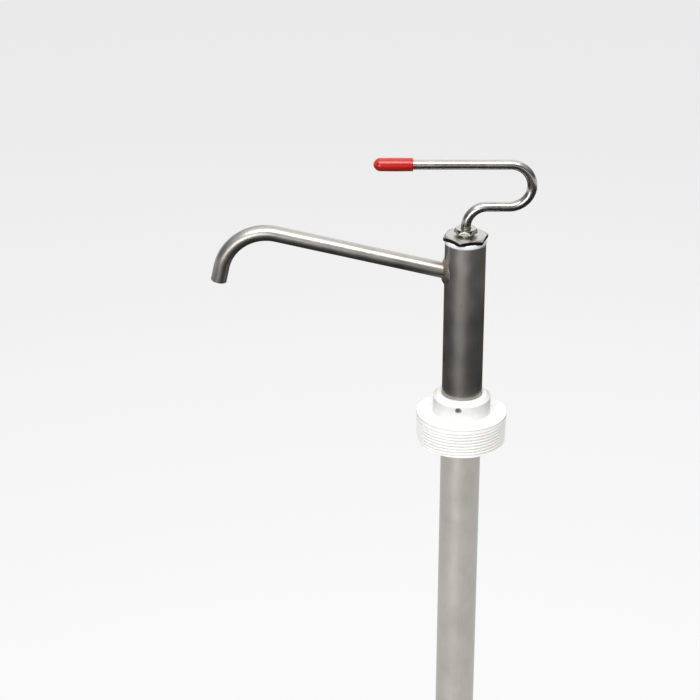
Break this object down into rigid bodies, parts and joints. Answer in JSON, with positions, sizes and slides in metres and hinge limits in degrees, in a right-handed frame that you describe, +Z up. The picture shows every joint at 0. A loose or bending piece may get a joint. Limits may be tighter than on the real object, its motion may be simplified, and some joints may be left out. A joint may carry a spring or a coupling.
{
  "type": "hand-operated drum pump",
  "caption": "Stainless hand lift pump for a drum: bent spout, rod bent into a handle with a soft grip, hexagonal gland, ball foot valve, and a plastic screw-in adapter that grips the barrel.",
  "frame": {"origin": "on the barrel's axis, level with the top of the adapter's threaded plug, which is flush with the drum's neck", "axes": "+Z up along the barrel and the rod, spout points along -X, handle plane is XZ, camera side is -Y"},
  "size_m": [0.2094, 0.0604, 0.8577],
  "materials": {
    "white_plastic": "smooth matt white, machined",
    "black_rubber": "matt",
    "bright_steel": "bright drawn or turned stainless steel",
    "tube_steel": "satin stainless steel tube",
    "weld_steel": "uneven weld metal",
    "ball_steel": "polished ball",
    "seal_plastic": "waxy white fluoroplastic",
    "red_vinyl": "dipped vinyl, glossy"
  },
  "bodies": {
    "adapter": {"bung_adapter": "white_plastic", "pressure_pad": "seal_plastic"},
    "clamp_screw": {"grub_screw": "bright_steel"},
    "seal": {"barrel_seal_ring": "black_rubber"},
    "barrel": {"barrel_tube": "tube_steel", "spout_tube": "tube_steel", "spout_weld": "weld_steel", "cap_gasket": "seal_plastic", "hex_cap": "bright_steel", "packing_nut": "bright_steel", "packing_follower": "bright_steel", "rod_guide_bush": "seal_plastic", "foot_plug": "bright_steel", "foot_seat": "seal_plastic", "ball_stop_pin": "bright_steel"},
    "packing": {"packing_ring_1": "seal_plastic", "packing_ring_2": "seal_plastic", "packing_ring_3": "seal_plastic"},
    "plunger": {"pump_rod": "bright_steel", "handle_grip": "red_vinyl", "stop_collar": "bright_steel", "stop_collar_pin": "bright_steel", "piston_body": "bright_steel", "piston_cup": "seal_plastic", "piston_seat": "bright_steel", "piston_ball_pin": "bright_steel", "piston_jam_nut": "bright_steel"},
    "piston_valve": {"piston_ball": "ball_steel"},
    "foot_valve": {"foot_ball": "ball_steel"}
  },
  "joints": [
    {"name": "clamp_screw_out", "type": "slide", "parent": "adapter", "child": "clamp_screw", "axis": [-0.1633, -0.9866, 0], "range_m": [0, 0.001]},
    {"name": "barrel_turn", "type": "hinge", "parent": "adapter", "child": "seal", "pos_m": [0, 0, 0], "axis": [0, 0, 1], "continuous": true},
    {"name": "barrel_height", "type": "slide", "parent": "seal", "child": "barrel", "axis": [0, 0, 1], "range_m": [-0.075, 0.3]},
    {"name": "handle_turn", "type": "hinge", "parent": "barrel", "child": "packing", "pos_m": [0, 0, 0.1174], "axis": [0, 0, 1], "continuous": true},
    {"name": "handle_stroke", "type": "slide", "parent": "packing", "child": "plunger", "axis": [0, 0, 1], "range_m": [0, 0.33]},
    {"name": "piston_ball_lift", "type": "slide", "parent": "plunger", "child": "piston_valve", "axis": [0, 0, 1], "range_m": [0, 0.004]},
    {"name": "foot_ball_lift", "type": "slide", "parent": "barrel", "child": "foot_valve", "axis": [0, 0, 1], "range_m": [0, 0.004]}
  ]
}
